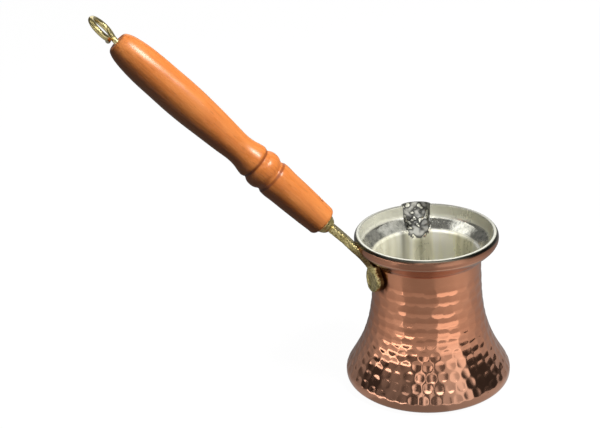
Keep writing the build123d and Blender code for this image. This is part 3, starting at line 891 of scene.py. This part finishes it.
# The studio that shiny pieces mirror: (angle to the right of the camera's side in degrees, brightness).
# Only reflections see it, and its bars are set for the main view.
FLOOR_NEAR = [(-180, 0.30), (-155, 0.14), (-120, 0.24), (-92, 0.38), (-76, 0.46), (-57, 0.52), (-52, 0.36),
              (-30, 0.31), (8, 0.33), (11, 0.44), (30, 0.52), (44, 0.56), (54, 0.62), (78, 0.58),
              (95, 0.44), (130, 0.32), (160, 0.22), (180, 0.30)]
FLOOR_FAR = [(-180, 0.35), (-155, 0.20), (-120, 0.30), (-92, 0.50), (-66, 0.66), (-58, 0.70), (-56, 1.30),
             (-50, 1.30), (-48, 0.42), (8, 0.45), (11, 1.15), (47, 1.30), (53, 0.76), (78, 0.62),
             (95, 0.48), (130, 0.38), (160, 0.26), (180, 0.35)]
FLOOR_TURNS_BRIGHT = (185.0, 235.0)         # distance from the pot's axis, mm
RIGHT_LOW = [(-31, 0.50), (7, 0.46), (11, 1.00), (52, 1.12), (58, 0.35), (65, 0.09), (128, 0.06),
             (145, 0.42), (180, 0.45)]                  # the right side, alike in the two lowest tables
HORIZON_MIRROR = [(-180, 0.45), (-140, 0.35), (-118, 0.30), (-92, 0.50), (-66, 0.66),
                  (-37, 0.70)] + RIGHT_LOW
LOW_MIRROR = [(-180, 0.45), (-140, 0.35), (-118, 0.22), (-109, 0.10), (-100, 0.10), (-95, 2.00),
              (-76, 2.60), (-37, 3.20)] + RIGHT_LOW
MID_MIRROR = [(-180, 1.60), (-164, 1.60), (-157, 0.12), (-114, 0.12), (-101, 0.05), (-84, 0.05),
              (-70, 0.20), (-50, 0.26), (-33, 0.16), (-24, 0.07), (-19, 0.90), (-14, 1.50), (-11, 0.12),
              (-4, 0.16), (-2, 0.95), (2, 0.80), (5, 0.14), (14, 0.20), (19, 0.62), (33, 0.66),
              (40, 1.15), (51, 1.10), (57, 0.30), (63, 0.05), (104, 0.04), (114, 0.22), (157, 0.20),
              (164, 1.60), (180, 1.60)]
HIGH_MIRROR = [(-180, 0.15), (-132, 0.20), (-118, 0.90), (-104, 1.35), (-90, 1.20), (-80, 0.75),
               (-42, 0.85), (-20, 1.00), (-14, 2.60), (38, 3.00), (46, 0.80), (62, 0.50), (90, 0.48),
               (108, 0.55), (122, 0.25), (180, 0.15)]
TOP_MIRROR = [(-180, 0.30), (-122, 0.30), (-110, 0.75), (-96, 0.80), (-89, 0.60), (-84, 0.10), (-40, 0.12),
              (40, 0.15), (78, 0.42), (100, 0.48), (116, 0.14), (180, 0.30)]
OVERHEAD = 1.6
# heights, in degrees, over which each table gives way to the next one up
LAYER_EDGES = ((1.8, 2.6), (6.0, 7.8), (37.0, 40.0), (57.0, 60.0), (76.0, 79.0))
FILL = 0.035
TOP_FILL = 1.40                             # soft light from straight above
MIRROR_TOP = 4.0                            # the ramps hold brightness as a share of this

# both lamps stand in the same place: angles in degrees, sizes in mm, powers in watts
LAMP_AZIMUTH, LAMP_ELEVATION = 57, 52
LAMP_AIM = Vector((-30, 0, 90))
LAMP_DISTANCE = 900
LAMP_SIZE = (320, 320)
LAMP_COLOUR = (1, 0.98, 0.95)
KEY_POWER = 11.3
SHEEN_POWER = 16.0


def ramp_of_angles(tree, share, table):
    """A colour ramp over the whole turn that gives each angle's brightness."""
    made = tree.nodes.new("ShaderNodeValToRGB")
    ramp = made.color_ramp
    while len(ramp.elements) < len(table):
        ramp.elements.new(0.5)
    for element, (angle, value) in zip(ramp.elements, table):
        element.position = (angle + 180) / 360
        element.color = (value / MIRROR_TOP,) * 3 + (1,)
    tree.links.new(share, made.inputs["Fac"])
    return made.outputs["Color"]


def math_in(tree, how, a, b=None, c=None):
    made = tree.nodes.new("ShaderNodeMath")
    made.operation = how
    for socket, value in zip(made.inputs, (a, b, c)):
        if isinstance(value, bpy.types.NodeSocket):
            tree.links.new(value, socket)
        elif value is not None:
            socket.default_value = value
    return made.outputs[0]


def dot_in(tree, vector, way):
    made = tree.nodes.new("ShaderNodeVectorMath")
    made.operation = "DOT_PRODUCT"
    tree.links.new(vector, made.inputs[0])
    made.inputs[1].default_value = tuple(way)
    return made.outputs["Value"]


def step_in(tree, value, low, high):
    made = tree.nodes.new("ShaderNodeMapRange")
    made.interpolation_type = "SMOOTHSTEP"
    tree.links.new(value, made.inputs["Value"])
    made.inputs["From Min"].default_value, made.inputs["From Max"].default_value = low, high
    return made.outputs["Result"]


def turn_share(tree, vector):
    """0 to 1 round the whole turn, with the camera's side in the middle."""
    right = dot_in(tree, vector, towards(90, 0))
    front = dot_in(tree, vector, towards(0, 0))
    return math_in(tree, "MULTIPLY_ADD", math_in(tree, "ARCTAN2", right, front), 0.5 / math.pi, 0.5)


def add_world():
    world = bpy.data.worlds.new("studio")
    bpy.context.scene.world = world
    world.use_nodes = True
    tree = world.node_tree
    tree.nodes.clear()
    way = tree.nodes.new("ShaderNodeTexCoord").outputs["Generated"]
    share = turn_share(tree, way)
    height = dot_in(tree, way, (0, 0, 1))

    def blend(share_up, low, high):
        made = tree.nodes.new("ShaderNodeMix")
        made.data_type = "FLOAT"
        for socket, value in zip(made.inputs[:1] + made.inputs[2:4], (share_up, low, high)):
            if isinstance(value, bpy.types.NodeSocket):
                tree.links.new(value, socket)
            else:
                socket.default_value = value
        return made.outputs[0]

    tables = (HORIZON_MIRROR, LOW_MIRROR, MID_MIRROR, HIGH_MIRROR, TOP_MIRROR)
    layers = [ramp_of_angles(tree, share, table) for table in tables] + [OVERHEAD / MIRROR_TOP]
    total = layers[0]
    for (start, end), layer in zip(LAYER_EDGES, layers[1:]):
        edge = step_in(tree, height, math.sin(math.radians(start)), math.sin(math.radians(end)))
        total = blend(edge, total, layer)
    total = math_in(tree, "MULTIPLY", total, MIRROR_TOP)

    rays = tree.nodes.new("ShaderNodeLightPath").outputs
    soft = math_in(tree, "MULTIPLY_ADD", height, FILL * 0.5, FILL)
    soft = math_in(tree, "MULTIPLY_ADD", step_in(tree, height, 0.80, 0.95), TOP_FILL, soft)
    strength = blend(rays["Is Glossy Ray"], soft, total)
    strength = blend(rays["Is Camera Ray"], strength, 1.0)
    lit = tree.nodes.new("ShaderNodeBackground")
    lit.inputs["Color"].default_value = (1, 1, 1, 1)
    tree.links.new(strength, lit.inputs["Strength"])
    tree.links.new(lit.outputs[0], tree.nodes.new("ShaderNodeOutputWorld").inputs["Surface"])


def add_lamp(name, power):
    data = bpy.data.lights.new(name, "AREA")
    data.shape, data.size, data.size_y = "RECTANGLE", LAMP_SIZE[0] * MM, LAMP_SIZE[1] * MM
    data.energy, data.color = power, LAMP_COLOUR
    made = bpy.data.objects.new(name, data)
    way = towards(LAMP_AZIMUTH, LAMP_ELEVATION)
    made.location = (LAMP_AIM + way * LAMP_DISTANCE) * MM
    made.rotation_mode = "QUATERNION"
    made.rotation_quaternion = way.to_track_quat("Z", "Y")
    bpy.context.scene.collection.objects.link(made)
    made.visible_camera = False
    return made


def add_floor():
    reach = 3000
    corners = [(-reach, -reach, 0), (reach, -reach, 0), (reach, reach, 0), (-reach, reach, 0)]
    floor = make_object("floor", corners, [(0, 1, 2, 3)])
    s = Shader("floor_finish")
    tree = s.tree
    cloud = s.noise(s.place(), 6, 2, 0.5)
    s.set("Base Color", s.ramp(cloud, [(0.3, (0.045, 0.045, 0.045)), (0.7, (0.050, 0.050, 0.050))]))
    s.set("Roughness", 0.9)
    s.set("Specular IOR Level", 0.0)
    s.set("Emission Color", (1, 1, 1, 1))
    s.set("Emission Strength", 0.97)
    where = s.add("ShaderNodeTexCoord").outputs["Object"]
    share = turn_share(tree, where)
    away = s.add("ShaderNodeVectorMath", {"operation": "LENGTH"}, Vector=where).outputs["Value"]
    bright = step_in(tree, away, *(k * MM for k in FLOOR_TURNS_BRIGHT))
    near, far = ramp_of_angles(tree, share, FLOOR_NEAR), ramp_of_angles(tree, share, FLOOR_FAR)
    mirrored = s.mix(bright, near, far)
    pools = s.add("ShaderNodeEmission", Color=mirrored, Strength=MIRROR_TOP).outputs[0]
    bounce = s.add("ShaderNodeBsdfDiffuse", Color=(0.06, 0.058, 0.056, 1)).outputs[0]
    rays = s.add("ShaderNodeLightPath").outputs
    hidden = s.add("ShaderNodeMixShader")
    tree.links.new(rays["Is Glossy Ray"], hidden.inputs[0])
    tree.links.new(bounce, hidden.inputs[1])
    tree.links.new(pools, hidden.inputs[2])
    mix = s.add("ShaderNodeMixShader")
    tree.links.new(rays["Is Camera Ray"], mix.inputs[0])
    tree.links.new(hidden.outputs[0], mix.inputs[1])
    tree.links.new(s.surface.outputs[0], mix.inputs[2])
    out = next(n for n in tree.nodes if n.type == "OUTPUT_MATERIAL")
    tree.links.new(mix.outputs[0], out.inputs["Surface"])
    finish_with(floor, s.material)


# ------------------------------------------------------------------ put together
add_camera()
add_world()
key = add_lamp("key", KEY_POWER)
key.visible_glossy = False              # it lights diffuse surfaces only
sheen = add_lamp("sheen", SHEEN_POWER)
sheen.visible_diffuse = False           # it is only mirrored, by the wood and the brass
add_floor()
bpy.context.scene.view_settings.view_transform = "Standard"

copper, tin = build_pot()
wood = build_wood()
bracket = build_bracket()
eye = build_eye()

finish_with(copper, copper_material())
finish_with(tin, tin_material())
finish_with(wood, wood_material())
finish_with(bracket, brass_material("cast_brass_finish", cast=True))
finish_with(eye, brass_material("wire_brass_finish", cast=False))
rivet_finish = rivet_material()
finish_with(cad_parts["rivet_lower"], rivet_finish)
finish_with(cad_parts["rivet_upper"], rivet_finish)
finish_with(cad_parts["cross_pin"], steel_material())

dressed = (
    (copper, "pot_body", "copper"), (tin, "tin_lining", "tin"), (wood, "wooden_handle", "varnished_wood"),
    (bracket, "handle_bracket", "cast_brass"), (eye, "screw_eye", "brass_wire"),
)
for piece, node, slot in dressed:
    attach(piece, "root")
    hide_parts(node)

sheen_lit = bpy.data.collections.new("lit by the sheen")
for piece in (wood, bracket, eye):
    sheen_lit.objects.link(piece)
sheen.light_linking.receiver_collection = sheen_lit
